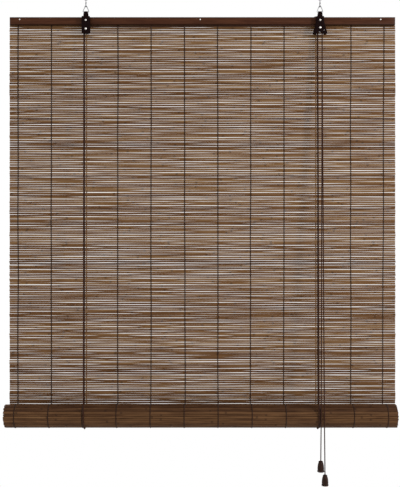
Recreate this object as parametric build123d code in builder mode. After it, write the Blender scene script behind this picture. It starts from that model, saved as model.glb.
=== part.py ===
from build123d import *
import os
from math import atan, cos, pi, radians, sin

os.makedirs("parts", exist_ok=True)

# Bamboo roll up blind, hanging from two screw hooks, two thirds lowered. Millimetres.
# Frame: +Z up, +X to the right along the head rail, -Y towards the room.
# Origin: midway between the two hook shanks, on the ceiling they are screwed into.
# Clearances: pieces that are fixed together stand `fixed_gap` apart, pieces that run on
# each other `running_gap`, and cords `cord_gap` from what they lie on.
fixed_gap = 0.05
running_gap = 0.08
seat_gap = 0.15
cord_gap = 0.3

# Hooks and rings
hook_spacing = 613.0
hook_wire = 2.4
hook_drop = 21.0  # ceiling to the underside of the hook
hook_reach = 5.0  # shank line to the middle of the wire, to the front and to the back
hook_bend = 4.5
hook_neck = 6.5  # ceiling to where the wire sets off backwards
hook_mouth = 9.5  # height of the hook's tip above its lowest wire
collar_diameter = 9.0
collar_thickness = 1.5
thread_length = 15.0
ring_wire = 2.0
ring_width = 16.4  # between wire centres at the foot
ring_corner_height = 21.2  # foot to the point where the two sides would meet
ring_top_bend = 3.0
ring_foot_bend = 1.6

# Head rail: two battens with the mat clamped between them
rail_length = 1011.8
rail_height = 20.0
front_batten_depth = 10.0
back_batten_depth = 8.0
rail_shift = -1.4  # middle of the rail from the middle of the hooks
rail_drop = 11.65  # ring's foot to the top of the rail
rail_edge = 0.8
rail_screw_inset = 32.0
rail_screw_shift = -6.0  # middle screw from the middle of the rail
rail_screw_drop = 6.0
rail_screw_diameter = 2.4
rail_screw_head = 4.0
rail_screw_dome = 0.6
rail_screw_bite = 6.0

# Pulley block and cord lock: one folded steel strap each
strap = 1.0
cheek_gap = 9.0
shoulder_rise = 0.4  # shoulders above the top of the rail
neck_width = 12.4
loop_width = 10.0
loop_collar = 3.0  # how far the narrow loop reaches below the ring
block_width = 21.7
block_height = 45.4
block_corner = 5.5
shoulder_corner = 2.0
block_screw_drop = 10.4
block_screw_diameter = 3.0
block_screw_head = 5.6
block_screw_dome = 1.6
block_screw_bite = 8.0
block_axle_drop = 33.0
lock_width = 20.2
lock_flare_drop = 15.8
lock_foot_reach = 19.0
lock_foot_drop = 45.5
lock_foot_width = 7.0
lock_foot_slope = 2.0
lock_notch_drop = 38.5
lock_axle_drop = 30.0
axle_diameter = 3.0
axle_head = 5.2
axle_dome = 0.9
wheel_diameter = 14.0
wheel_pitch_radius = 5.5  # axle to the middle of the cord
hub_diameter = 5.6
groove_pitch = 3.8  # between the lock wheel's two grooves
groove_wall = 0.6
lock_roller_diameter = 5.2
lock_roller_drop = 7.5  # below the lock's axle
lock_pin_diameter = 2.2
lock_pin_reach = 0.7  # how far the roller's pins stand out of the cheeks
lock_travel = 4.2
lock_slope = 45.0

# Mat
mat_overhang = 2.8  # the mat runs this far past each end of the rail
slat_height = 5.0
slat_pitch = 5.8
slat_thickness = 1.2
slats_clamped = 6.5  # height of mat held inside the rail
slat_nodes = 8
warp_count = 12
warp_left_inset = 19.8  # left end of the rail to the first thread
warp_right_inset = 27.3
warp_width = 1.6
warp_thickness = 0.6
warp_gap = 0.1

# Roll at the foot, and the two bottom battens in its core
roll_drop = 1022.7  # underside of the rail to the middle of the roll
roll_spread = 1.0  # how far the roll's turns have slipped past each end of the mat
roll_shift = -4.4  # middle of the roll from the middle of the rail
roll_outer_radius = 31.5
roll_pitch = 3.4
roll_half_turns = 8
roll_tail_bend = 4.0
core_batten_width = 24.0
core_batten_thickness = 4.0

# Cords
cord_diameter = 3.0
knot_diameter = 6.8
left_loop_shift = -1.0  # loop under the roll from the left hook
right_loop_shift = -8.5  # loop under the roll from the right hook
pull_shifts = (-4.2, 6.8)  # pull cords where they cross the roll, from the right hook
acorn_drops = (1197.0, 1232.5)  # ceiling to the top of each acorn
acorn_height = 29.5
acorn_foot_diameter = 18.0
acorn_head_diameter = 13.0
acorn_shoulder = 5.5
acorn_lip = 1.6
acorn_recess = 7.0

# Worked out from the above
cord_radius = cord_diameter / 2
hook_x = {"left": -hook_spacing / 2, "right": hook_spacing / 2}
ring_top_z = -hook_drop + hook_wire + seat_gap + ring_wire / 2
apex_half_angle = atan(ring_width / 2 / ring_corner_height)
ring_rise = ring_corner_height - ring_top_bend / sin(apex_half_angle) + ring_top_bend
ring_foot_z = ring_top_z - ring_rise
rail_top_z = ring_foot_z - rail_drop
rail_bottom_z = rail_top_z - rail_height
shoulder_z = rail_top_z + shoulder_rise
cheek_inner_y = cheek_gap / 2
cheek_outer_y = cheek_inner_y + strap
rail_front_y = cheek_outer_y + 0.1
mat_half = slat_thickness / 2 + warp_gap + warp_thickness
mat_y = rail_front_y + front_batten_depth + warp_gap + mat_half
back_batten_y = mat_y + mat_half + warp_gap
rail_back_y = back_batten_y + back_batten_depth
rail_left_x = rail_shift - rail_length / 2
mat_width = rail_length + 2 * mat_overhang
roll_width = mat_width + 2 * roll_spread
warp_spacing = (rail_length - warp_left_inset - warp_right_inset) / (warp_count - 1)
roll_z = rail_bottom_z - roll_drop
turn_radius = roll_outer_radius - mat_half
roll_y = mat_y - turn_radius
loop_radius = roll_outer_radius + cord_gap + cord_radius
hole_radius = cord_radius + cord_gap
axle_z = {"left": shoulder_z - block_axle_drop, "right": shoulder_z - lock_axle_drop}
block_exit_z = shoulder_z - block_height - 2
lock_exit_z = shoulder_z - lock_foot_drop - lock_foot_slope - 2
loop_x = {"left": hook_x["left"] + left_loop_shift, "right": hook_x["right"] + right_loop_shift}
groove_radius = cord_radius + 0.1
strand_y = {"left": 0.0, "right": groove_pitch / 2}
block_screw_z = shoulder_z - block_screw_drop
rail_screw_z = rail_top_z - rail_screw_drop
rail_screw_spacing = rail_length / 2 - rail_screw_inset
rail_screw_xs = [rail_shift + rail_screw_shift + side * rail_screw_spacing for side in (-1, 0, 1)]


def save(solid, name):
    """Label a finished piece and write it."""
    solid.label = name
    export_step(solid, f"parts/{name}.step")


# Screw hooks: bent wire with a pressed-on collar and a screw shank above it
for side, x in hook_x.items():
    wire_z = -hook_drop + hook_wire / 2
    bends = [
        (0, thread_length),
        (0, -hook_neck),
        (hook_reach, -hook_neck - hook_reach / 2),
        (hook_reach, wire_z),
        (-hook_reach, wire_z),
        (-hook_reach, wire_z + hook_mouth),
    ]
    with BuildPart() as hook:
        with BuildLine(Plane.YZ.offset(x)) as wire:
            FilletPolyline(*bends, radius=[hook_wire * 0.8, hook_wire * 0.8, hook_bend, hook_bend])
        with BuildSketch(Plane(origin=wire.line @ 0, z_dir=wire.line % 0)):
            Circle(hook_wire / 2)
        sweep()
        with BuildSketch(Plane(origin=(x, 0, -collar_thickness))):
            Circle(collar_diameter / 2)
        extrude(amount=collar_thickness)
    save(hook.part, f"{side}_hook")

# Rings: wire triangles, closed, one on each hook
for side, x in hook_x.items():
    corners = [
        (x - ring_width / 2, ring_foot_z),
        (x + ring_width / 2, ring_foot_z),
        (x, ring_foot_z + ring_corner_height),
    ]
    with BuildPart() as ring:
        with BuildLine(Plane.XZ):
            FilletPolyline(*corners, radius=[ring_foot_bend, ring_foot_bend, ring_top_bend], close=True)
        with BuildSketch(Plane.YZ.offset(x)):
            with Locations((0, ring_foot_z)):
                Circle(ring_wire / 2)
        sweep()
    save(ring.part, f"{side}_ring")


# Straps: two cheeks joined by a neck that is folded over the ring's foot
def strap_block(name, x, outline, bends, holes, slots):
    """A folded strap whose cheeks have the given outline, from the ring's foot at x."""
    fold_inner = ring_wire / 2 + seat_gap
    with BuildPart() as block:
        for fold, half, mode in (
            (fold_inner + strap, cheek_outer_y, Mode.ADD),
            (fold_inner, cheek_inner_y, Mode.SUBTRACT),
        ):
            with BuildSketch(Plane.YZ.offset(x)):
                with BuildLine():
                    CenterArc((0, ring_foot_z), fold, 0, 360)
                    Line((-half, shoulder_z), (half, shoulder_z))
                make_hull()
            extrude(amount=neck_width / 2, both=True, mode=mode)
        beside = (neck_width - loop_width) / 2
        top_z = ring_foot_z + fold_inner + strap
        bottom_z = ring_foot_z - loop_collar
        with BuildSketch(Plane.XZ):
            with Locations(*[(x + s * (loop_width + beside) / 2, (top_z + bottom_z) / 2) for s in (-1, 1)]):
                Rectangle(beside, top_z - bottom_z)
        extrude(amount=cheek_outer_y, both=True, mode=Mode.SUBTRACT)
        for front_y in (-cheek_inner_y, cheek_outer_y):
            with BuildSketch(Plane.XZ.offset(-front_y)):
                with BuildLine():
                    FilletPolyline(*[(x + u, shoulder_z + v) for u, v in outline], radius=bends, close=True)
                make_face()
                for drop, diameter in holes:
                    with Locations((x, shoulder_z - drop)):
                        Circle(diameter / 2 + fixed_gap, mode=Mode.SUBTRACT)
                for u, v, length, width, slope in slots:
                    with Locations((x + u, shoulder_z + v)):
                        SlotCenterToCenter(length, width, rotation=slope, mode=Mode.SUBTRACT)
            extrude(amount=strap)
    save(block.part, name)


block_half = block_width / 2
strap_block(
    "left_pulley_block",
    hook_x["left"],
    [(-block_half, 0), (block_half, 0), (block_half, -block_height), (-block_half, -block_height)],
    [shoulder_corner, shoulder_corner, block_corner, block_corner],
    [(block_screw_drop, block_screw_diameter), (block_axle_drop, axle_diameter)],
    [],
)

slope = radians(lock_slope)
roller_x = wheel_pitch_radius + cord_radius + 2 * fixed_gap + lock_roller_diameter / 2
roller_rise = -lock_axle_drop - lock_roller_drop
lock_half = lock_width / 2
foot_inner = lock_foot_reach - lock_foot_width
right_half = [
    (lock_half, 0),
    (lock_half, -lock_flare_drop),
    (lock_foot_reach, -lock_foot_drop),
    (foot_inner, -lock_foot_drop - lock_foot_slope),
    (0, -lock_notch_drop),
]
strap_block(
    "right_cord_lock",
    hook_x["right"],
    right_half + [(-u, v) for u, v in right_half[-2::-1]],
    [shoulder_corner, 6, 2.5, 2.5, 2, 2.5, 2.5, 6, shoulder_corner],
    [(block_screw_drop, block_screw_diameter), (lock_axle_drop, axle_diameter)],
    [
        (
            roller_x + cos(slope) * lock_travel / 2,
            roller_rise + sin(slope) * lock_travel / 2,
            lock_travel + 2 * running_gap,
            lock_pin_diameter + 2 * running_gap,
            lock_slope,
        )
    ],
)


# Rivets, wheels and the lock's roller, all turned about lines from front to back
def turned(name, x, z, profile, arcs=()):
    """A solid turned about the line along Y through (x, z). Profile points are (radius, y)."""
    with BuildPart() as piece:
        with BuildSketch(Plane(origin=(x, 0, z))) as section:
            Polygon(*profile, align=None)
            for radius, y, hollow in arcs:
                with Locations((radius, y)):
                    Circle(hollow, mode=Mode.SUBTRACT)
        revolve(axis=Axis((x, 0, z), (0, 1, 0)))
    save(piece.part, name)


axle_r = axle_diameter / 2
head_y = cheek_outer_y + fixed_gap
for side, x in hook_x.items():
    half_rivet = [
        (0, head_y + axle_dome),
        (axle_head / 2 * 0.6, head_y + axle_dome),
        (axle_head / 2, head_y + axle_dome * 0.4),
        (axle_head / 2, head_y),
        (axle_r, head_y),
    ]
    rivet = half_rivet + [(radius, -y) for radius, y in half_rivet[::-1]]
    turned(f"{side}_axle_rivet", x, axle_z[side], rivet)

wheel_r = wheel_diameter / 2
bore_r = axle_r + running_gap
hub_r = hub_diameter / 2
hub_y = cheek_inner_y - 2 * running_gap
for side, x in hook_x.items():
    groove_ys = {"left": [0.0], "right": [-groove_pitch / 2, groove_pitch / 2]}[side]
    rim_y = groove_ys[-1] + groove_radius + groove_wall
    half_wheel = [(bore_r, hub_y), (hub_r, hub_y), (hub_r, rim_y), (wheel_r, rim_y)]
    profile = list(half_wheel)
    for y in groove_ys[::-1]:
        lip = [(wheel_r, y + groove_radius), (wheel_pitch_radius, y + groove_radius)]
        profile += lip + [(radius, 2 * y - across) for radius, across in lip[::-1]]
    profile += [(radius, -y) for radius, y in half_wheel[::-1]]
    grooves = [(wheel_pitch_radius, y, groove_radius) for y in groove_ys]
    turned(f"{side}_wheel", x, axle_z[side], profile, grooves)

roller_y = cheek_inner_y - 2 * running_gap
pin_r = lock_pin_diameter / 2
half_roller = [
    (0, cheek_outer_y + lock_pin_reach),
    (pin_r, cheek_outer_y + lock_pin_reach),
    (pin_r, roller_y),
    (lock_roller_diameter / 2, roller_y),
]
turned(
    "lock_roller",
    hook_x["right"] + roller_x,
    shoulder_z + roller_rise,
    half_roller + [(radius, -y) for radius, y in half_roller[::-1]],
)


# Screws: domed heads to the front
def screws(name, xs, z, front_y, head, dome, shank, end_y):
    """Like screws at each x in one node, with the underside of their heads at front_y."""
    with BuildPart() as group:
        for x in xs:
            with BuildSketch(Plane(origin=(x, 0, z))):
                with BuildLine():
                    ThreePointArc(
                        (0, front_y - dome),
                        (head / 2 * 0.72, front_y - dome * 0.72),
                        (head / 2, front_y),
                    )
                    Polyline(
                        (head / 2, front_y),
                        (shank / 2, front_y),
                        (shank / 2, end_y - shank),
                        (shank / 4, end_y),
                        (0, end_y),
                        (0, front_y - dome),
                    )
                make_face()
            revolve(axis=Axis((x, 0, z), (0, 1, 0)))
    save(group.part, name)


block_screw_end = rail_front_y + block_screw_bite
rail_screw_end = back_batten_y + rail_screw_bite
screws(
    "block_screws",
    hook_x.values(),
    block_screw_z,
    -cheek_outer_y - fixed_gap,
    block_screw_head,
    block_screw_dome,
    block_screw_diameter,
    block_screw_end,
)
screws(
    "rail_screws",
    rail_screw_xs,
    rail_screw_z,
    rail_front_y - fixed_gap,
    rail_screw_head,
    rail_screw_dome,
    rail_screw_diameter,
    rail_screw_end,
)


# Head rail: battens bored for the screws, and the back one for the lift cords
def rail_batten(name, front_y, depth, holes, cord_holes):
    """A batten of the head rail. Holes are (x, z, radius, where the hole ends)."""
    middle = (rail_shift, front_y + depth / 2, rail_top_z - rail_height / 2)
    with BuildPart() as batten:
        with BuildSketch(Plane(origin=middle, x_dir=(0, 1, 0), z_dir=(1, 0, 0))):
            RectangleRounded(depth, rail_height, rail_edge)
        extrude(amount=rail_length / 2, both=True)
        for x, z, radius, end_y in holes:
            with BuildSketch(Plane.XZ.offset(-front_y)):
                with Locations((x, z)):
                    Circle(radius)
            extrude(amount=front_y - end_y, mode=Mode.SUBTRACT)
        for x in cord_holes:
            with BuildSketch(Plane.XY.offset(rail_bottom_z)):
                with Locations((x, front_y + depth / 2)):
                    Circle(hole_radius)
            extrude(amount=rail_height, mode=Mode.SUBTRACT)
    save(batten.part, name)


block_hole_r = block_screw_diameter / 2 + fixed_gap
rail_hole_r = rail_screw_diameter / 2 + fixed_gap
rail_batten(
    "front_rail_batten",
    rail_front_y,
    front_batten_depth,
    [(x, block_screw_z, block_hole_r, block_screw_end + fixed_gap) for x in hook_x.values()]
    + [(x, rail_screw_z, rail_hole_r, rail_front_y + front_batten_depth) for x in rail_screw_xs],
    [],
)
rail_batten(
    "back_rail_batten",
    back_batten_y,
    back_batten_depth,
    [(x, rail_screw_z, rail_hole_r, rail_screw_end + fixed_gap) for x in rail_screw_xs],
    loop_x.values(),
)

# Mat: bamboo slats hung on twelve pairs of threads
slats_top_z = rail_bottom_z + slats_clamped
slat_count = int((slats_top_z - slat_height - roll_z) // slat_pitch) + 1
group_size = -(-slat_count // slat_nodes)
for group in range(slat_nodes):
    rows = range(group * group_size, min(slat_count, (group + 1) * group_size))
    with BuildPart() as slats:
        for row in rows:
            with BuildSketch(Plane.XY.offset(slats_top_z - slat_height - row * slat_pitch)):
                with Locations((rail_shift, mat_y)):
                    Rectangle(mat_width, slat_thickness)
            extrude(amount=slat_height)
    save(slats.part, f"slats_{group + 1}")

for number in range(warp_count):
    x = rail_left_x + warp_left_inset + number * warp_spacing
    offset_y = slat_thickness / 2 + warp_gap + warp_thickness / 2
    with BuildPart() as thread:
        with BuildSketch(Plane.XY.offset(roll_z)):
            with Locations((x, mat_y - offset_y), (x, mat_y + offset_y)):
                Rectangle(warp_width, warp_thickness)
        extrude(amount=slats_top_z - roll_z)
    save(thread.part, f"warp_threads_{number + 1}")

# Roll: the rest of the mat, one band wound from half circles about two centres
step = roll_pitch / 2
radii = [turn_radius - step * turn for turn in range(roll_half_turns)]
with BuildPart() as roll:
    with BuildSketch(Plane.YZ.offset(rail_shift + roll_shift - roll_width / 2)):
        with BuildLine():
            for turn, radius in enumerate(radii):
                upper = turn % 2
                centre = (roll_y - upper * step, roll_z)
                CenterArc(centre, radius, 0 if upper else 180, 180)
            tail_y = roll_y - (roll_half_turns % 2 == 0) * step + radii[-1]
            bend_y = tail_y - roll_tail_bend
            CenterArc((bend_y, roll_z), roll_tail_bend, 270, 90)
            Line((roll_y - core_batten_width / 2, roll_z - roll_tail_bend), (bend_y, roll_z - roll_tail_bend))
        trace(line_width=2 * mat_half)
    extrude(amount=roll_width)
save(roll.part, "bamboo_roll")

batten_step = mat_half + fixed_gap + core_batten_thickness / 2
for name, side in (("upper", 1), ("lower", -1)):
    with BuildPart() as batten:
        with BuildSketch(Plane.YZ.offset(rail_shift)):
            with Locations((roll_y, roll_z - roll_tail_bend + side * batten_step)):
                RectangleRounded(core_batten_width, core_batten_thickness, rail_edge)
        extrude(amount=mat_width / 2, both=True)
    save(batten.part, f"{name}_bottom_batten")


# Cords
def save_cord(tube, name, length, bends=()):
    """Prints a cord's length and bends, and its volume against that of a round bar, and saves it."""
    share = tube.volume / (pi * cord_radius**2 * length)
    print(f"{name}: {length:.1f} mm, bends {[round(b, 1) for b in bends]}, volume share {share:.4f}")
    save(tube, name)


def taut_cord(name, start, end):
    """A straight run of cord, cut level at both ends, where it meets the runs above and below."""
    run = Vector(end) - Vector(start)
    with BuildPart() as tube:
        with BuildSketch(Plane.XY.offset(start[2])):
            with Locations(start[:2]):
                Circle(cord_radius)
        extrude(amount=run.length, dir=run.normalized())
    save_cord(tube.part, name, run.length)


def bent_cord(name, points, bends):
    """A cord along straight runs, with one arc radius for each corner between them."""
    with BuildPart() as tube:
        with BuildLine() as route:
            FilletPolyline(*points, radius=bends)
        with BuildSketch(Plane(origin=route.line @ 0, z_dir=route.line % 0)):
            Circle(cord_radius)
        sweep()
    save_cord(tube.part, name, sum(edge.length for edge in route.edges()), bends)


top_z = {side: axle_z[side] + wheel_pitch_radius for side in hook_x}
wrap = wheel_pitch_radius - 0.1
front_y = roll_y - loop_radius
back_y = roll_y + loop_radius
hole_y = back_batten_y + back_batten_depth / 2
exit_z = {"left": block_exit_z, "right": lock_exit_z}
for side, x in hook_x.items():
    down_x = loop_x[side]
    up_x = x - wheel_pitch_radius
    with BuildPart() as knot:
        with Locations((down_x, hole_y, rail_top_z + fixed_gap + knot_diameter / 2)):
            Sphere(knot_diameter / 2)
    save(knot.part, f"{side}_top_knot")
    taut_cord(f"{side}_knot_cord", (down_x, hole_y, rail_top_z), (down_x, hole_y, rail_bottom_z))
    taut_cord(
        f"{side}_back_lift_cord",
        (down_x, hole_y, rail_bottom_z - fixed_gap),
        (down_x, back_y, roll_z + fixed_gap),
    )
    with BuildPart() as loop:
        with BuildLine(Plane.YZ.offset(down_x)) as route:
            CenterArc((roll_y, roll_z), loop_radius, 180, 180)
        with BuildSketch(Plane.XY.offset(roll_z)):
            with Locations((down_x, front_y)):
                Circle(cord_radius)
        sweep()
    save(loop.part, f"{side}_lift_loop")
    taut_cord(
        f"{side}_front_lift_cord",
        (down_x, front_y, roll_z + fixed_gap),
        (up_x, strand_y[side], exit_z[side] - fixed_gap),
    )

left_up = hook_x["left"] - wheel_pitch_radius
right_up = hook_x["right"] - wheel_pitch_radius
right_down = hook_x["right"] + wheel_pitch_radius
bent_cord(
    "left_cross_cord",
    [
        (left_up, 0, block_exit_z),
        (left_up, 0, top_z["left"]),
        (right_down, -groove_pitch / 2, top_z["right"]),
        (right_down, -groove_pitch / 2, lock_exit_z),
    ],
    [wrap, wrap],
)
bent_cord(
    "right_lock_cord",
    [
        (right_up, groove_pitch / 2, lock_exit_z),
        (right_up, groove_pitch / 2, top_z["right"]),
        (right_down, groove_pitch / 2, top_z["right"]),
        (right_down, groove_pitch / 2, lock_exit_z),
    ],
    [wrap, wrap],
)

# Pull cords, with a turned wooden acorn on the end of each
for number, (shift, drop) in enumerate(zip(pull_shifts, acorn_drops), start=1):
    x = hook_x["right"] + shift
    start_y = (-1 if number == 1 else 1) * groove_pitch / 2
    cross_z = roll_z + 1.5
    taut_cord(
        f"pull_cord_{number}_upper",
        (right_down, start_y, lock_exit_z - fixed_gap),
        (x, front_y, cross_z + 2 * fixed_gap),
    )
    foot_z = -drop - acorn_height
    taut_cord(f"pull_cord_{number}_lower", (x, front_y, cross_z), (x, front_y, foot_z + acorn_recess))
    bore_r = cord_radius + cord_gap
    foot_r = acorn_foot_diameter / 2
    head_r = acorn_head_diameter / 2
    shoulder_h = acorn_height - acorn_shoulder
    recess_r = knot_diameter / 2 + cord_gap
    with BuildPart() as acorn:
        with BuildSketch(Plane(origin=(x, front_y, foot_z), x_dir=(1, 0, 0), z_dir=(0, -1, 0))):
            with BuildLine():
                Polyline(
                    (bore_r, acorn_height),
                    (bore_r, acorn_recess),
                    (recess_r, acorn_recess),
                    (recess_r, 0),
                    (foot_r - acorn_lip, 0),
                )
                RadiusArc((foot_r - acorn_lip, 0), (foot_r - 0.2, 2 * acorn_lip), -acorn_lip * 1.3)
                RadiusArc((foot_r - 0.2, 2 * acorn_lip), (head_r, shoulder_h), 90)
                ThreePointArc(
                    (head_r, shoulder_h),
                    (head_r * 0.78, acorn_height - acorn_shoulder * 0.35),
                    (bore_r + 0.8, acorn_height),
                )
                Line((bore_r + 0.8, acorn_height), (bore_r, acorn_height))
            make_face()
        revolve(axis=Axis((x, front_y, foot_z), (0, 0, 1)))
    save(acorn.part, f"acorn_{number}")
    with BuildPart() as knot:
        knot_z = foot_z + acorn_recess - seat_gap - knot_diameter / 2
        with Locations((x, front_y, knot_z)):
            Sphere(knot_diameter / 2)
    save(knot.part, f"acorn_{number}_knot")
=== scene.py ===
import math
import bpy
import numpy as np
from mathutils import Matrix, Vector


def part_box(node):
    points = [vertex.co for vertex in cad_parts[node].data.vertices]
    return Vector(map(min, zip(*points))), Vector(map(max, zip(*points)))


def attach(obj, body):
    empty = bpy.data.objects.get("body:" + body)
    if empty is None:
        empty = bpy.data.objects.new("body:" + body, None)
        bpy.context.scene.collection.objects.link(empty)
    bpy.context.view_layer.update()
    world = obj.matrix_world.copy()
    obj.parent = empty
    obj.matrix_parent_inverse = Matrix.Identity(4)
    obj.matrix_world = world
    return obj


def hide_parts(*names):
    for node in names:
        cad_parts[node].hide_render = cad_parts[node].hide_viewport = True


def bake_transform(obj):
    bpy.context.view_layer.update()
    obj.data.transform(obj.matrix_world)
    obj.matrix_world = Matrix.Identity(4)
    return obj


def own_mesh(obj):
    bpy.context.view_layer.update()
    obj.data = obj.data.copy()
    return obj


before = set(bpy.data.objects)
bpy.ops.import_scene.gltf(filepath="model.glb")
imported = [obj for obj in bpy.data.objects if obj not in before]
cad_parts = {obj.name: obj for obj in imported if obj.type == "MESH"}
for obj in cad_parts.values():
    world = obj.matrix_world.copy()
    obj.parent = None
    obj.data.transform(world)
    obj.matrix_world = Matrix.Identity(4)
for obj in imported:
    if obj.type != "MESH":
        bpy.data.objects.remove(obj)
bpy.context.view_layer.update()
scene = bpy.context.scene

# Camera: level and square on, 2.4 m in front of the head rail and a little over half a
# metre below its top. A long lens keeps the roll, which stands nearer, only a little larger.
rail_low, rail_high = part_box("front_rail_batten")
rail_middle_x = (rail_low.x + rail_high.x) / 2
camera_distance = 2.4
camera_drop = 0.5943
camera_left = 0.0064
view_height = 1.2784
sensor_width = 36
eye = Vector((rail_middle_x - camera_left, rail_low.y - camera_distance, rail_high.z - camera_drop))
bpy.ops.object.camera_add(location=eye, rotation=(math.pi / 2, 0, 0))
camera = bpy.context.object
camera.data.sensor_width = sensor_width
camera.data.lens = sensor_width * camera_distance / view_height
camera.data.clip_end = 50
scene.camera = camera

# Studio: a white surround, a soft key from the right that throws the cords' and blocks'
# shadows to the left, and a plain pale floor, low enough for the pull cords of a raised blind.
floor_level = -3.0
scene.view_settings.view_transform = "Standard"
world = bpy.data.worlds.new("surround")
world.use_nodes = True
surround = world.node_tree.nodes["Background"]
surround.inputs["Color"].default_value = (1, 1, 1, 1)
surround.inputs["Strength"].default_value = 1.0
scene.world = world


def soft_light(name, place, aim, size, power):
    """A square area light at a place, turned to face its aim."""
    bpy.ops.object.light_add(type="AREA", location=place)
    light = bpy.context.object
    light.name = name
    light.data.size = size
    light.data.energy = power
    light.rotation_euler = (Vector(aim) - Vector(place)).to_track_quat("-Z", "Y").to_euler()


soft_light("key_light", place=(2.6, -1.9, 0.5), aim=(0, 0, -0.6), size=0.5, power=70)

bpy.ops.mesh.primitive_plane_add(size=9, location=(0, 0, floor_level))
floor = bpy.context.object
floor.name = "studio_floor"
floor_paint = bpy.data.materials.new("floor_paint")
floor_paint.use_nodes = True
paint_shader = floor_paint.node_tree.nodes["Principled BSDF"]
paint_shader.inputs["Base Color"].default_value = (0.85, 0.84, 0.82, 1)
paint_shader.inputs["Roughness"].default_value = 0.8
floor.data.materials.append(floor_paint)

# Screw hooks and rings: bent steel wire, zinc plated. The hooks' collars are pressed on
# and their shanks go up into the ceiling; each ring is a closed triangle hung on a hook.
wire_colour = (0.33, 0.33, 0.34)


def node_maker(material):
    """Returns make(kind, inputs, settings), which adds a node to a material's shader tree. An
    input is a value to set, or another node's socket to link."""
    tree = material.node_tree

    def make(kind, inputs=None, **settings):
        node = tree.nodes.new(kind)
        for key, value in settings.items():
            setattr(node, key, value)
        for key, value in (inputs or {}).items():
            if isinstance(value, bpy.types.NodeSocket):
                tree.links.new(value, node.inputs[key])
            else:
                node.inputs[key].default_value = value
        return node

    return make


def new_finish(name, roughness, metallic=0.0, gloss=0.5):
    """A material with its shader, and the maker of its nodes. Gloss is how strongly it mirrors."""
    material = bpy.data.materials.new(name)
    material.use_nodes = True
    shader = material.node_tree.nodes["Principled BSDF"]
    shader.inputs["Roughness"].default_value = roughness
    shader.inputs["Metallic"].default_value = metallic
    shader.inputs["Specular IOR Level"].default_value = gloss
    return material, shader, node_maker(material)


def ramp(make, factor, stops):
    """A colour ramp fed by a factor, with (place, colour) stops."""
    node = make("ShaderNodeValToRGB", {"Fac": factor})
    elements = node.color_ramp.elements
    while len(elements) < len(stops):
        elements.new(0.5)
    for element, (place, colour) in zip(elements, stops):
        element.position = place
        element.color = (*colour, 1)
    return node.outputs["Color"]


def bump(make, shader, height, strength, distance):
    """Relief on a shader from a height, at a strength and over a distance in metres."""
    node = make("ShaderNodeBump", {"Height": height, "Strength": strength, "Distance": distance})
    shader.id_data.links.new(node.outputs["Normal"], shader.inputs["Normal"])


def noise(make, scale, detail=3.0, stretch=(1, 1, 1), vector=None):
    """Noise on the piece's own coordinates, or on a vector, drawn out where stretch is small."""
    if vector is None:
        vector = make("ShaderNodeTexCoord").outputs["Object"]
    mapped = make("ShaderNodeMapping", {"Vector": vector, "Scale": stretch}).outputs["Vector"]
    inputs = {"Vector": mapped, "Scale": scale, "Detail": detail}
    return make("ShaderNodeTexNoise", inputs).outputs["Fac"]


def maths(make, operation, *values):
    """One step of arithmetic on sockets and numbers."""
    return make("ShaderNodeMath", dict(enumerate(values)), operation=operation).outputs[0]


def plated_steel(name, colour, roughness):
    """Plated steel: slightly clouded colour, fine drawn scratches and dull patches."""
    material, shader, make = new_finish(name, roughness, metallic=1.0)
    cloud = noise(make, 300, 4)
    dull = tuple(c * 0.72 for c in colour)
    tone = ramp(make, cloud, [(0.3, dull), (0.65, colour)])
    material.node_tree.links.new(tone, shader.inputs["Base Color"])
    rough = make("ShaderNodeMapRange", {"Value": cloud, "To Min": roughness + 0.18, "To Max": roughness})
    material.node_tree.links.new(rough.outputs["Result"], shader.inputs["Roughness"])
    bump(make, shader, noise(make, 900, 2), 0.15, 0.0002)
    return material


def from_frame(node, body, material, ease=0.0, angle=35.0):
    """A finished copy of a CAD node: its facets merged, its flats made whole, its edges eased."""
    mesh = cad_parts[node].data.copy()
    mesh.materials.clear()
    piece = bpy.data.objects.new(f"{node}_finished", mesh)
    scene.collection.objects.link(piece)
    bpy.ops.object.select_all(action="DESELECT")
    bpy.context.view_layer.objects.active = piece
    piece.select_set(True)
    bpy.ops.object.mode_set(mode="EDIT")
    bpy.ops.mesh.select_all(action="SELECT")
    bpy.ops.mesh.remove_doubles(threshold=2e-6)
    if ease:
        bpy.ops.mesh.dissolve_limited(angle_limit=math.radians(0.4))
    bpy.ops.object.mode_set(mode="OBJECT")
    if ease:
        modifier = piece.modifiers.new("eased_edges", "BEVEL")
        modifier.width = ease
        modifier.segments = 2
        modifier.limit_method = "ANGLE"
        modifier.angle_limit = math.radians(angle)
        bpy.ops.object.modifier_apply(modifier=modifier.name)
    bpy.ops.object.shade_smooth_by_angle(angle=math.radians(angle))
    mesh.materials.append(material)
    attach(piece, body)
    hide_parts(node)
    return piece


zinc_wire = plated_steel("zinc_wire", wire_colour, 0.28)
for side in ("left", "right"):
    from_frame(f"{side}_hook", "hooks", zinc_wire)
    from_frame(f"{side}_ring", f"{side}_ring", zinc_wire)

# Head rail: two softwood battens, stained red-brown and lacquered, screwed together over
# the top of the mat. The stain has built up darker along the eased edges.
rail_stain_dark = (0.030, 0.009, 0.004)
rail_stain_light = (0.062, 0.022, 0.010)
rail_edge_band = 0.0032
rail_grain = 260


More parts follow.
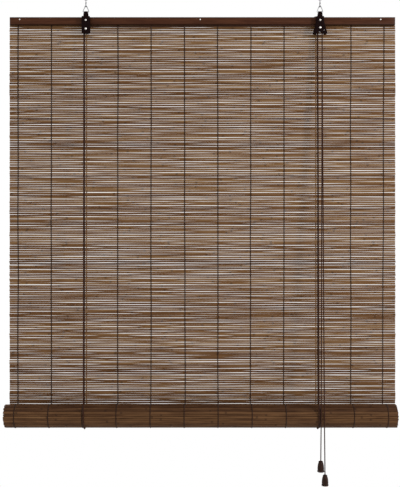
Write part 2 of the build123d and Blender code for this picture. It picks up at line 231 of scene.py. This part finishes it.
def stained_wood(name, low_z, high_z):
    """Stained wood with its grain along X, darker where the stain gathers at the two edges."""
    material, shader, make = new_finish(name, 0.42, gloss=0.06)
    place = make("ShaderNodeTexCoord").outputs["Object"]
    figure = noise(make, rail_grain, 6, (0.06, 1, 1), place)
    pores = noise(make, rail_grain * 7, 3, (0.03, 1, 1), place)
    grain = maths(make, "MULTIPLY_ADD", figure, pores, 0.12)
    tone = ramp(make, grain, [(0.22, rail_stain_dark), (0.52, rail_stain_light)])
    height = make("ShaderNodeSeparateXYZ", {"Vector": place}).outputs["Z"]
    half = (high_z - low_z) / 2
    away = maths(make, "ABSOLUTE", maths(make, "SUBTRACT", height, (low_z + high_z) / 2))
    edge = make(
        "ShaderNodeMapRange",
        {"Value": away, "From Min": half - rail_edge_band, "From Max": half, "To Min": 0.0, "To Max": 0.85},
    ).outputs["Result"]
    gathered = (*[c * 0.3 for c in rail_stain_dark], 1)
    mixed = make("ShaderNodeMix", {"Factor": edge, "A": tone, "B": gathered}, data_type="RGBA")
    material.node_tree.links.new(mixed.outputs["Result"], shader.inputs["Base Color"])
    bump(make, shader, grain, 0.35, 0.0004)
    return material


rail_wood = stained_wood("rail_wood", rail_low.z, rail_high.z)
for batten in ("front", "back"):
    from_frame(f"{batten}_rail_batten", "head_rail", rail_wood, ease=0.0003)

# Rail and block screws: domed heads with cross recesses, plated, a little tarnished. Each
# was driven home at its own angle.
chance_of_turn = np.random.default_rng(5)
tarnished_steel = plated_steel("tarnished_steel", (0.80, 0.76, 0.72), 0.3)
recess_length = 0.0030
recess_width = 0.0006
recess_depth = 0.0007
screw_reach = 0.02


def screw_centres(node):
    """Where each screw of a group stands: the middle of its head, at the face it drives from."""
    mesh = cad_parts[node].data
    points = np.array([v.co for v in mesh.vertices])
    heads = points[points[:, 1] < points[:, 1].min() + 0.0001]
    places = []
    for head in heads:
        if all(abs(head[0] - x) > screw_reach for x, _, _ in places):
            near = points[abs(points[:, 0] - head[0]) < screw_reach]
            low, high = near.min(axis=0), near.max(axis=0)
            places.append(((low[0] + high[0]) / 2, head[1], (low[2] + high[2]) / 2))
    return places


for screws in ("rail_screws", "block_screws"):
    bars = []
    for x, y, z in screw_centres(screws):
        turn = chance_of_turn.uniform(0, math.pi)
        for quarter in (0, math.pi / 2):
            bpy.ops.object.select_all(action="DESELECT")
            bpy.ops.mesh.primitive_cube_add(size=1, location=(x, y, z), rotation=(0, turn + quarter, 0))
            bar = bpy.context.object
            bar.scale = (recess_length, recess_depth * 2, recess_width)
            bpy.ops.object.transform_apply(location=True, rotation=True, scale=True)
            bars.append(bar)
    piece = from_frame(screws, "head_rail", tarnished_steel)
    bpy.ops.object.select_all(action="DESELECT")
    bpy.context.view_layer.objects.active = piece
    for bar in bars:
        cut = piece.modifiers.new("recess", "BOOLEAN")
        cut.operation = "DIFFERENCE"
        cut.object = bar
        bpy.ops.object.modifier_apply(modifier=cut.name)
        bpy.data.objects.remove(bar)

# Pulley block and cord lock: each a steel strap folded over its ring and japanned black,
# with a few flecks rubbed paler. Both are screwed to the front of the head rail.
def japanned_steel(name):
    """Thick black on steel, with orange peel and a few rubbed flecks."""
    material, shader, make = new_finish(name, 0.36, gloss=0.03)
    rubbed = noise(make, 420, 6)
    stops = [(0.0, (0.003, 0.001, 0.001)), (0.68, (0.006, 0.002, 0.002)), (0.76, (0.04, 0.025, 0.02))]
    tone = ramp(make, rubbed, stops)
    material.node_tree.links.new(tone, shader.inputs["Base Color"])
    bump(make, shader, noise(make, 1100, 2), 0.12, 0.0002)
    return material


black_steel = japanned_steel("black_steel")
for strap in ("left_pulley_block", "right_cord_lock"):
    from_frame(strap, "head_rail", black_steel, ease=0.0002)

# Rivets, wheels and the lock's pinch roller: all turned from steel. The rivets are bright at
# their heads; the wheels, which turn on them, and the roller are dark with wear.
worn_steel = plated_steel("worn_steel", (0.20, 0.19, 0.18), 0.42)
for side in ("left", "right"):
    from_frame(f"{side}_axle_rivet", "head_rail", tarnished_steel)
    from_frame(f"{side}_wheel", f"{side}_wheel", worn_steel)
from_frame("lock_roller", "lock_roller", worn_steel)

# Mat: bamboo slats, split by hand, so no two have the same width or run quite straight.
# The joints of the cane show as darker knuckles. Stained dark brown, nearly matt.
chance = np.random.default_rng(11)


def numbered_nodes(stem):
    """The frame's nodes of one stem, such as slats_1 and on, in the order of their numbers."""
    nodes = [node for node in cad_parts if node.startswith(stem)]
    return sorted(nodes, key=lambda node: int(node[len(stem):]))


slat_low, slat_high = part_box("slats_1")
mat_width = slat_high.x - slat_low.x
mat_middle_x = (slat_high.x + slat_low.x) / 2
mat_y = (slat_high.y + slat_low.y) / 2
slat_thickness = slat_high.y - slat_low.y
slat_height = 0.0050
slat_pitch = 0.0058
slat_edge = 0.0005
slat_fullness = 1.03
slat_unevenness = 0.035
slat_bow = 0.0004
slat_cuts = 20
row_unevenness = 0.00012
knuckle_step = 0.27
hanging_tones = (0.38, 0.86)
slat_groups = numbered_nodes("slats_")
mat_top = slat_high.z
mat_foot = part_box(slat_groups[-1])[0].z
slat_count = round((mat_top - mat_foot - slat_height) / slat_pitch) + 1

bpy.ops.object.select_all(action="DESELECT")
bpy.ops.mesh.primitive_cube_add(size=1)
slat_blank = bpy.context.object
slat_blank.scale = (mat_width, slat_thickness, slat_height)
bpy.ops.object.transform_apply(scale=True)
bpy.ops.object.mode_set(mode="EDIT")
for cut in range(1, slat_cuts):
    bpy.ops.mesh.select_all(action="SELECT")
    bpy.ops.mesh.bisect(plane_co=((cut / slat_cuts - 0.5) * mat_width, 0, 0), plane_no=(1, 0, 0))
bpy.ops.mesh.select_all(action="DESELECT")
bpy.ops.object.mode_set(mode="OBJECT")
for edge in slat_blank.data.edges:
    a, b = (slat_blank.data.vertices[v].co for v in edge.vertices)
    edge.select = abs(a.x - b.x) > 1e-4 and a.y < 0
bpy.ops.object.mode_set(mode="EDIT")
bpy.ops.mesh.select_mode(type="EDGE")
bpy.ops.mesh.bevel(offset=slat_edge, segments=1)
bpy.ops.object.mode_set(mode="OBJECT")
blank_points = np.array([v.co for v in slat_blank.data.vertices])
blank_faces = [tuple(p.vertices) for p in slat_blank.data.polygons]
bpy.data.objects.remove(slat_blank)


def bamboo(name):
    """Stained bamboo: long fibres along the cane, a tone for each slat, dark knuckles."""
    material, shader, make = new_finish(name, 0.55, gloss=0.08)
    place = make("ShaderNodeTexCoord").outputs["Object"]
    tone = make("ShaderNodeAttribute", attribute_name="tone").outputs["Fac"]
    own = make("ShaderNodeVectorMath", {0: place, 1: tone}, operation="ADD").outputs[0]
    fibre = noise(make, 900, 4, (0.02, 1, 1), own)
    cloud = noise(make, 14, 3, (1, 4, 4), own)
    streaks = maths(make, "MULTIPLY", fibre, 0.45)
    lighter = maths(make, "MULTIPLY_ADD", cloud, 0.45, streaks)
    level = maths(make, "MULTIPLY_ADD", tone, 0.55, lighter)
    stops = [
        (0.30, (0.018, 0.006, 0.003)),
        (0.52, (0.047, 0.020, 0.008)),
        (0.78, (0.108, 0.052, 0.021)),
        (1.0, (0.185, 0.108, 0.050)),
    ]
    colour = ramp(make, level, stops)
    along = make("ShaderNodeSeparateXYZ", {"Vector": place}).outputs["X"]
    shifted = maths(make, "MULTIPLY_ADD", tone, 13.0, 4.0)
    cane = maths(make, "MULTIPLY_ADD", along, 1 / knuckle_step, shifted)
    away = maths(make, "ABSOLUTE", maths(make, "SUBTRACT", maths(make, "FRACT", cane), 0.5))
    knuckle = make(
        "ShaderNodeMapRange",
        {"Value": away, "From Min": 0.004, "From Max": 0.016, "To Min": 0.45, "To Max": 0.0},
        interpolation_type="SMOOTHSTEP",
    ).outputs["Result"]
    knuckle_brown = (0.012, 0.005, 0.003, 1)
    mixed = make("ShaderNodeMix", {"Factor": knuckle, "A": colour, "B": knuckle_brown}, data_type="RGBA")
    material.node_tree.links.new(mixed.outputs["Result"], shader.inputs["Base Color"])
    bump(make, shader, maths(make, "MULTIPLY_ADD", knuckle, 0.8, fibre), 0.5, 0.0003)
    return material


stained_bamboo = bamboo("stained_bamboo")


def wander(x, size, shortest, longest):
    """A slow random wave of about that size, made of four lengths, at each x."""
    total = 0
    for _ in range(4):
        length = chance.uniform(shortest, longest)
        total = total + np.sin(2 * math.pi * (x / length + chance.random())) * chance.uniform(0.3, 1)
    return total * size / 2


def split_slat(least_tone, most_tone):
    """One slat about its own middle: its points, and its tone from the range given: how light it took the
    stain, and on the roll painted shade as well.
    """
    x, y, z = blank_points.T
    width = chance.normal(slat_fullness, slat_unevenness) + wander(x, 0.08, 0.14, 0.6)
    bow = slat_bow * np.tanh(wander(x, 0.0009, 0.11, 0.42) / slat_bow)
    new_z = z * np.clip(width, 0.8, 1.12) + bow
    new_y = y * chance.uniform(0.75, 1.1) + wander(x, 0.00015, 0.3, 1.0)
    at_end = abs(x) > mat_width / 2 - 1e-4
    new_x = x + np.where(at_end, chance.uniform(-0.0016, 0.0006) * np.sign(x), 0)
    tone = np.full(len(x), chance.uniform(least_tone, most_tone))
    return np.stack([new_x, new_y, new_z], 1), tone


def slats_mesh(name, shapes):
    """One piece from many slats, each with its points and its tone."""
    count = len(blank_points)
    every = [tuple(v + count * n for v in face) for n in range(len(shapes)) for face in blank_faces]
    mesh = bpy.data.meshes.new(name)
    mesh.from_pydata(np.concatenate([points for points, _ in shapes]).tolist(), [], every)
    layer = mesh.attributes.new("tone", "FLOAT", "POINT")
    layer.data.foreach_set("value", np.concatenate([tone for _, tone in shapes]).astype(np.float32))
    mesh.materials.append(stained_bamboo)
    piece = bpy.data.objects.new(name, mesh)
    scene.collection.objects.link(piece)
    return piece


roll_low, roll_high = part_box("bamboo_roll")
roll_radius = (roll_high.y - roll_low.y) / 2
roll_z = roll_low.z + roll_radius
roll_y = (roll_high.y + roll_low.y) / 2
mat_drop = rail_low.z - roll_z


def gather_to_rail(piece):
    """A piece between the rail and the roll, hung on the head rail with a mesh of its own."""
    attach(piece, "head_rail")
    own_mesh(piece)


slat_rows = [mat_top - slat_height / 2 - row * slat_pitch for row in range(slat_count)]
slat_rows = [z + (chance.normal(0, row_unevenness) if z < rail_low.z else 0) for z in slat_rows]
for node in slat_groups:
    low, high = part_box(node)
    shapes = []
    for z in slat_rows:
        if low.z < z < high.z:
            points, tone = split_slat(*hanging_tones)
            shapes.append((points + [mat_middle_x, mat_y, z], tone))
    piece = slats_mesh(f"{node}_split", shapes)
    gather_to_rail(piece)
    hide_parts(node)

# Warp threads: two dark cotton yarns at each of twelve places, laced round every slat in
# turn, one in front where the other is behind, and crossed between the slats.
yarn_radius = 0.00055
yarn_flatness = 2.4
yarn_spread = 0.0005
yarn_seat = 0.9
flat_share = 0.36
crossing_height = slat_pitch * 0.9
thread_lean = 0.0012


def tube(path, radius, sides, twist=0.0, lobes=0, depth=0.0, squeeze=1.0):
    """A tube round a path: its points, its faces, and how far along it each ring of points
    stands. Twist, in turns a metre, winds its lobes, with grooves of a depth between them."""
    path = np.array(path, float)
    steps = np.diff(path, axis=0)
    lengths = np.linalg.norm(steps, axis=1)
    along = np.concatenate([[0], np.cumsum(lengths)])
    heading = np.zeros_like(path)
    heading[:-1] += steps / lengths[:, None]
    heading[1:] += steps / lengths[:, None]
    heading /= np.linalg.norm(heading, axis=1)[:, None]
    side = np.cross(heading[0], (0.0, 0.0, 1.0) if abs(heading[0][2]) < 0.9 else (0.0, 1.0, 0.0))
    sides_of = []
    for direction in heading:
        side = side - direction * (side @ direction)
        side = side / np.linalg.norm(side)
        sides_of.append(side)
    first = np.array(sides_of)
    second = np.cross(heading, first)
    angles = np.arange(sides) / sides * 2 * math.pi
    turned = np.tile(angles, (len(path), 1))
    wound = lobes * (angles[None, :] + 2 * math.pi * twist * along[:, None])
    reach = radius * (1 - depth * (0.5 - 0.5 * np.cos(wound)))
    points = (
        path[:, None]
        + first[:, None] * (np.cos(turned) * reach)[..., None]
        + second[:, None] * (np.sin(turned) * reach * squeeze)[..., None]
    ).reshape(-1, 3)
    rings = len(path)
    faces = [
        (r * sides + s, r * sides + (s + 1) % sides, (r + 1) * sides + (s + 1) % sides, (r + 1) * sides + s)
        for r in range(rings - 1)
        for s in range(sides)
    ]
    faces += [tuple(range(sides))[::-1], tuple((rings - 1) * sides + s for s in range(sides))]
    return points, faces, along


def mesh_piece(name, parts, material):
    """One piece from tubes, with a map of each: how far round it, and how far along it."""
    points, faces, marks, base = [], [], [], 0
    for part_points, part_faces, along in parts:
        sides = len(part_points) // len(along)
        points.append(part_points)
        faces += [tuple(v + base for v in face) for face in part_faces]
        marks.append(np.stack([np.tile(np.arange(sides) / sides, len(along)), np.repeat(along, sides)], 1))
        base += len(part_points)
    mesh = bpy.data.meshes.new(name)
    mesh.from_pydata(np.concatenate(points).tolist(), [], faces)
    places = np.concatenate(marks)
    layer = mesh.uv_layers.new(name="round_and_along")
    corners = np.array([loop.vertex_index for loop in mesh.loops])
    flat = places[corners]
    for face in mesh.polygons:
        span = slice(face.loop_start, face.loop_start + face.loop_total)
        if flat[span, 0].max() - flat[span, 0].min() > 0.5:
            flat[span, 0] = np.where(flat[span, 0] < 0.5, flat[span, 0] + 1, flat[span, 0])
    layer.data.foreach_set("uv", flat.astype(np.float32).ravel())
    mesh.polygons.foreach_set("use_smooth", [True] * len(mesh.polygons))
    mesh.materials.append(material)
    piece = bpy.data.objects.new(name, mesh)
    scene.collection.objects.link(piece)
    return piece


def spun_fibre(name, dark, light, turns, strands, ways):
    """Fibre whose strands wind round the piece along its own map, at so many turns a metre:
    one way when it is twisted, both ways when it is braided."""
    material, shader, make = new_finish(name, 0.85, gloss=0.05)
    shader.inputs["Sheen Weight"].default_value = 0.05
    shader.inputs["Sheen Roughness"].default_value = 0.5
    marks = make("ShaderNodeUVMap", uv_map="round_and_along").outputs["UV"]
    parts = make("ShaderNodeSeparateXYZ", {"Vector": marks})
    heights = []
    for way in ways:
        wound = maths(make, "MULTIPLY_ADD", parts.outputs["Y"], way * turns, parts.outputs["X"])
        wave = maths(make, "MULTIPLY", wound, 2 * math.pi * strands / len(ways))
        heights.append(maths(make, "SINE", wave))
    height = maths(make, "MULTIPLY", *heights) if len(heights) > 1 else heights[0]
    level = maths(make, "MULTIPLY_ADD", height, 0.3, noise(make, 1500, 3))
    tone = ramp(make, level, [(0.25, dark), (0.8, light)])
    material.node_tree.links.new(tone, shader.inputs["Base Color"])
    bump(make, shader, level, 0.8, 0.0005)
    return material


warp_dark = (0.010, 0.004, 0.002)
warp_light = (0.040, 0.019, 0.011)
warp_cotton = spun_fibre("warp_cotton", warp_dark, warp_light, turns=550, strands=2, ways=(1,))


def laced(x, crossings, phase):
    """A yarn's path past the slats. Each crossing is a slat's centre, the way along the mat,
    and the way out of its face. The two yarns of a place have phases 0 and 1."""
    path = []
    for number, (centre, along, out) in enumerate(crossings):
        side = 1 if (number + phase) % 2 else -1
        reach = side * (slat_thickness / 2 + yarn_radius * yarn_seat)
        centre = np.array(centre) + [x, 0, 0]
        step = np.array(along) * crossing_height * flat_share
        sway = np.array([yarn_spread * side, 0, 0])
        path.append(centre - step + np.array(out) * reach + sway)
        path.append(centre + step + np.array(out) * reach + sway)
    return path


def flat_yarn(path):
    """A yarn along a path, flattened against the slats."""
    return tube(path, yarn_radius * yarn_flatness, 6, squeeze=1 / yarn_flatness)


thread_nodes = numbered_nodes("warp_threads_")
thread_xs = [(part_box(n)[0].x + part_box(n)[1].x) / 2 for n in thread_nodes]
hanging = [((0, mat_y, z), (0, 0, -1), (0, -1, 0)) for z in slat_rows]
for node, x in zip(thread_nodes, thread_xs):
    lean = chance.normal(0, thread_lean)
    yarns = []
    for phase in (0, 1):
        path = np.array(laced(x, hanging, phase))
        path[:, 0] += lean * (path[:, 2] - rail_low.z) / mat_drop + wander(path[:, 2], 0.0007, 0.2, 0.9)
        yarns.append(flat_yarn(path))
    piece = mesh_piece(f"{node}_laced", yarns, warp_cotton)
    gather_to_rail(piece)
    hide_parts(node)

# Roll: the rest of the mat, wound on itself in front of the hanging part. Its turns have
# slipped a little sideways past each other, so its two ends are uneven.
band_step = 0.0017
band_half = 0.0013
roll_half_turns = 8
outer_turn = roll_radius - band_half
roll_slip = (roll_low.x + roll_high.x) / 2 - mat_middle_x
slip_run = 0.06
end_wave = 0.0009
end_wave_rate = 51
end_wave_start = -0.93
row_slip = 0.0004
# The rolled slats take a darker range of tones than the hanging ones: painted shade on the roll.
roll_tones_with_painted_shade = (0.0, 0.5)


def wound_place(distance):
    """Where the mat's middle is, that far inwards along the roll from where it hangs, with its
    heading and the direction out of the roll, in (y, z)."""
    for turn in range(roll_half_turns):
        radius = outer_turn - band_step * turn
        if distance < math.pi * radius or turn == roll_half_turns - 1:
            upper = turn % 2
            angle = (math.pi if upper else 0) - distance / radius
            centre = roll_y - upper * band_step
            out = (math.cos(angle), math.sin(angle))
            return (centre + radius * out[0], roll_z + radius * out[1]), (out[1], -out[0]), out
        distance -= math.pi * radius


wound_length = math.pi * sum(outer_turn - band_step * turn for turn in range(roll_half_turns))
wound_count = int(wound_length / slat_pitch)
roll_shapes, roll_crossings = [], []
for row in range(wound_count):
    distance = (row + 0.5) * slat_pitch
    (y, z), heading, out = wound_place(distance)
    # Painted shade: each rolled slat's tone comes from the darker range.
    points, tone = split_slat(*roll_tones_with_painted_shade)
    slip = roll_slip * min(1, distance / slip_run)
    slip += end_wave * math.sin(distance * end_wave_rate + end_wave_start)
    slip += chance.normal(0, row_slip)
    local_y, local_z = -points[:, 1], points[:, 2]
    placed = np.stack(
        [
            points[:, 0] + mat_middle_x + slip,
            y + out[0] * local_y + heading[0] * local_z,
            z + out[1] * local_y + heading[1] * local_z,
        ],
        1,
    )
    roll_shapes.append((placed, tone))
    roll_crossings.append(((0, y, z), (0, *heading), (0, *out)))
roll_piece = slats_mesh("rolled_slats", roll_shapes)
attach(roll_piece, "roll")
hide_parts("bamboo_roll")
roll_yarns = [flat_yarn(laced(x, roll_crossings, phase)) for x in thread_xs for phase in (0, 1)]
roll_threads = mesh_piece("rolled_threads", roll_yarns, warp_cotton)
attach(roll_threads, "roll")

# Bottom battens: two flat strips that clamp the end of the mat inside the roll, of the
# same stained wood as the head rail.
core_low, core_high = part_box("upper_bottom_batten")
core_wood = stained_wood("core_wood", core_low.z, core_high.z)
for place in ("upper", "lower"):
    from_frame(f"{place}_bottom_batten", "roll", core_wood, ease=0.0002)

# Cords: dark brown braided cotton, 3 mm thick. Each lift cord is knotted on top of the
# rail, runs down behind the mat, under the roll and up its front to its wheel.
cord_diameter = 0.003
cord_ring = 0.0016
knot_size = 0.00085
wheel_radius = 0.0055
strand_side = 0.0019
cord_dark = (0.008, 0.0025, 0.0015)
cord_light = (0.050, 0.018, 0.010)
cord_cotton = spun_fibre("cord_cotton", cord_dark, cord_light, turns=110, strands=8, ways=(1, -1))


def smooth_line(route):
    """Points along the smooth curve that a route's points control."""
    data = bpy.data.curves.new("route", "CURVE")
    data.dimensions = "3D"
    spline = data.splines.new("NURBS")
    spline.points.add(len(route) - 1)
    for point, place in zip(spline.points, route):
        point.co = (*place, 1)
    spline.order_u = 3
    spline.use_endpoint_u = True
    spline.resolution_u = 24
    guide = bpy.data.objects.new("route", data)
    scene.collection.objects.link(guide)
    bpy.context.view_layer.update()
    line = bpy.data.meshes.new_from_object(guide.evaluated_get(bpy.context.evaluated_depsgraph_get()))
    points = np.array([v.co for v in line.vertices])
    bpy.data.objects.remove(guide)
    bpy.data.meshes.remove(line)
    lengths = np.concatenate([[0], np.cumsum(np.linalg.norm(np.diff(points, axis=0), axis=1))])
    count = max(8, round(lengths[-1] / cord_ring))
    even = np.linspace(0, lengths[-1], count + 1)
    return np.stack([np.interp(even, lengths, points[:, k]) for k in range(3)], 1)


def laid_cord(name, route, node):
    """A cord along a route, in place of a node: its piece, the line it follows, its length."""
    line = smooth_line(route)
    part = tube(line, cord_diameter / 2, 10, twist=45, lobes=4, depth=0.1)
    piece = mesh_piece(name, [part], cord_cotton)
    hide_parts(node)
    return piece, [tuple(point) for point in line], part[2][-1]


def middle_of(node):
    """The middle of a node's box."""
    low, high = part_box(node)
    return (low + high) / 2


def ball_knot(name, centre, body, node):
    """An overhand knot of the same cord, drawn up tight."""
    turn = np.linspace(0, 2 * math.pi, 60)[:-1]
    path = np.stack(
        [
            centre[0] + knot_size * (np.sin(turn) + 2 * np.sin(2 * turn)),
            centre[1] + knot_size * (np.cos(turn) - 2 * np.cos(2 * turn)),
            centre[2] - knot_size * 1.3 * np.sin(3 * turn),
        ],
        1,
    )
    path = np.concatenate([path, path[:1]])
    knot = mesh_piece(name, [tube(path, cord_diameter / 2 * 0.95, 10)], cord_cotton)
    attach(knot, body)
    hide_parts(node)
    return knot


loop_low, loop_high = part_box("left_lift_loop")
loop_reach = middle_of("left_lift_loop").y + (loop_high.y - loop_low.y) / 2
loop_radius = loop_reach - cord_diameter / 2 - roll_y
cord_front_y = roll_y - loop_radius
cord_back_y = roll_y + loop_radius
for side in ("left", "right"):
    loop_x = middle_of(f"{side}_lift_loop").x
    hole = middle_of(f"{side}_knot_cord")
    ball_knot(f"{side}_top_knot_tied", middle_of(f"{side}_top_knot"), "head_rail", f"{side}_top_knot")
    through = [(hole.x, hole.y, rail_high.z), (hole.x, hole.y, rail_low.z)]
    piece, _, _ = laid_cord(f"{side}_knot_cord_laid", through, f"{side}_knot_cord")
    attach(piece, "head_rail")
    behind = [(loop_x, hole.y, rail_low.z), (loop_x, cord_back_y, roll_z)]
    piece, _, _ = laid_cord(f"{side}_back_run", behind, f"{side}_back_lift_cord")
    gather_to_rail(piece)
    corner = loop_radius / math.cos(math.pi / 8)
    under = [(loop_x, cord_back_y, roll_z)]
    for eighth in (1, 3, 5, 7):
        angle = -eighth * math.pi / 8
        under.append((loop_x, roll_y + corner * math.cos(angle), roll_z + corner * math.sin(angle)))
    under.append((loop_x, cord_front_y, roll_z))
    piece, _, _ = laid_cord(f"{side}_loop_under_roll", under, f"{side}_lift_loop")
    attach(piece, "roll_cradle")
    run_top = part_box(f"{side}_front_lift_cord")[1].z
    wheel = middle_of(f"{side}_wheel")
    strand_y = {"left": 0.0, "right": strand_side}[side]
    top = (wheel.x - wheel_radius, strand_y, run_top)
    in_front = [(loop_x, cord_front_y, roll_z), top]
    piece, _, _ = laid_cord(f"{side}_front_run", in_front, f"{side}_front_lift_cord")
    gather_to_rail(piece)

# Cross run and lock cord: the left lift cord turns over its wheel, runs along under the
# rail, and goes over the lock's wheel beside the right lift cord. Both leave the lock below.
left_wheel = middle_of("left_wheel")
right_wheel = middle_of("right_wheel")
lock_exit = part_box("right_lock_cord")[0].z
left_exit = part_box("left_front_lift_cord")[1].z
over_left = [
    (left_wheel.x - wheel_radius, 0, left_exit),
    (left_wheel.x - wheel_radius, 0, left_wheel.z),
    (left_wheel.x - wheel_radius, 0, left_wheel.z + wheel_radius),
    (left_wheel.x, 0, left_wheel.z + wheel_radius),
    (right_wheel.x, -strand_side, right_wheel.z + wheel_radius),
    (right_wheel.x + wheel_radius, -strand_side, right_wheel.z + wheel_radius),
    (right_wheel.x + wheel_radius, -strand_side, right_wheel.z),
    (right_wheel.x + wheel_radius, -strand_side, lock_exit),
]
over_right = [
    (right_wheel.x - wheel_radius, strand_side, lock_exit),
    (right_wheel.x - wheel_radius, strand_side, right_wheel.z),
    (right_wheel.x - wheel_radius, strand_side, right_wheel.z + wheel_radius),
    (right_wheel.x + wheel_radius, strand_side, right_wheel.z + wheel_radius),
    (right_wheel.x + wheel_radius, strand_side, right_wheel.z),
    (right_wheel.x + wheel_radius, strand_side, lock_exit),
]
for node, route in (("left_cross_cord", over_left), ("right_lock_cord", over_right)):
    piece, _, _ = laid_cord(f"{node}_laid", route, node)
    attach(piece, "head_rail")

# Pull cords and acorns: the free ends hang from the lock, over the front of the roll, where
# they lean together a little. Each is knotted inside a turned and lacquered wooden acorn.
lean_in = {1: 0.0012, 2: -0.0016}
into_knot = 0.002


def lacquered_wood(name):
    """Dark lacquered wood, turned, with rings of tool marks and its grain upright."""
    material, shader, make = new_finish(name, 0.32, gloss=0.1)
    place = make("ShaderNodeTexCoord").outputs["Object"]
    grain = noise(make, 500, 5, (1, 1, 0.08), place)
    tone = ramp(make, grain, [(0.3, (0.006, 0.0025, 0.0015)), (0.7, (0.032, 0.013, 0.008))])
    material.node_tree.links.new(tone, shader.inputs["Base Color"])
    rings = noise(make, 1800, 2, (0.02, 0.02, 1), place)
    bump(make, shader, rings, 0.12, 0.0002)
    return material


acorn_lacquer = lacquered_wood("acorn_lacquer")


def turned_acorn(name, centre_x, centre_y, foot, height):
    """An acorn from the lathe: ring by ring up its outside, over its top and down its bore. The
    profile is (radius, height above the foot), and starts and ends in the knot's hollow."""
    acorn_low, acorn_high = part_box("acorn_1")
    half = 0.5 * (acorn_high.x - acorn_low.x)
    profile = [
        (0.0037, 0.0068), (0.0037, 0.0012), (0.0044, 0.0003), (half * 0.72, 0.0),
        (half * 0.9, 0.0005), (half * 0.985, 0.0018), (half, 0.0032), (half * 0.96, 0.0046),
        (half * 0.87, 0.0053), (half * 0.9, 0.0062), (half * 0.93, 0.008), (half * 0.925, 0.011),
        (half * 0.89, 0.015), (half * 0.83, 0.019), (half * 0.745, 0.0225), (half * 0.65, 0.0247),
        (half * 0.61, 0.0255), (half * 0.66, 0.0262), (half * 0.62, 0.0274), (half * 0.48, 0.0286),
        (half * 0.3, height - 0.0002), (0.0021, height - 0.0006), (0.0018, height - 0.002),
        (0.0018, 0.0068),
    ]
    bpy.ops.object.select_all(action="DESELECT")
    start_radius, start_height = profile[0]
    place = (centre_x, centre_y, foot + start_height)
    bpy.ops.mesh.primitive_circle_add(vertices=40, radius=start_radius, location=place)
    acorn = bpy.context.object
    acorn.name = name
    bpy.ops.object.mode_set(mode="EDIT")
    bpy.ops.mesh.select_all(action="SELECT")
    radius, level = start_radius, start_height
    for next_radius, next_level in profile[1:]:
        bpy.ops.mesh.extrude_edges_move(TRANSFORM_OT_translate={"value": (0, 0, next_level - level)})
        share = next_radius / radius
        centre = (centre_x, centre_y, foot + next_level)
        bpy.ops.transform.resize(value=(share, share, 1), center_override=centre)
        radius, level = next_radius, next_level
    bpy.ops.mesh.select_all(action="SELECT")
    bpy.ops.mesh.remove_doubles(threshold=1e-5)
    bpy.ops.mesh.select_mode(type="EDGE")
    bpy.ops.mesh.select_all(action="DESELECT")
    bpy.ops.mesh.select_non_manifold()
    bpy.ops.mesh.bridge_edge_loops()
    bpy.ops.mesh.select_all(action="SELECT")
    bpy.ops.mesh.normals_make_consistent(inside=False)
    bpy.ops.object.mode_set(mode="OBJECT")
    bpy.ops.object.transform_apply(location=True, rotation=True, scale=True)
    bpy.ops.object.shade_smooth_by_angle(angle=math.radians(60))
    acorn.data.materials.append(acorn_lacquer)
    return acorn


for number in (1, 2):
    low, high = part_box(f"acorn_{number}")
    x = (low.x + high.x) / 2
    strand_y = {1: -strand_side, 2: strand_side}[number]
    leaving = (right_wheel.x + wheel_radius, strand_y, lock_exit)
    crossing = (x + lean_in[number], cord_front_y, roll_z)
    node = f"pull_cord_{number}_upper"
    upper, line, length = laid_cord(f"{node}_laid", [leaving, crossing], node)
    gather_to_rail(upper)
    acorn = turned_acorn(f"acorn_{number}_turned", x, cord_front_y, low.z, high.z - low.z)
    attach(acorn, f"acorn_{number}")
    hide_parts(f"acorn_{number}")
    knot_centre = middle_of(f"acorn_{number}_knot")
    knot = ball_knot(f"acorn_{number}_knot_tied", knot_centre, f"acorn_{number}", f"acorn_{number}_knot")
    entering = (x, cord_front_y, high.z)
    ending = (x, cord_front_y, knot_centre.z + into_knot)
    node = f"pull_cord_{number}_lower"
    lower, line, length = laid_cord(f"{node}_laid", [crossing, entering, ending], node)
    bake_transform(lower)
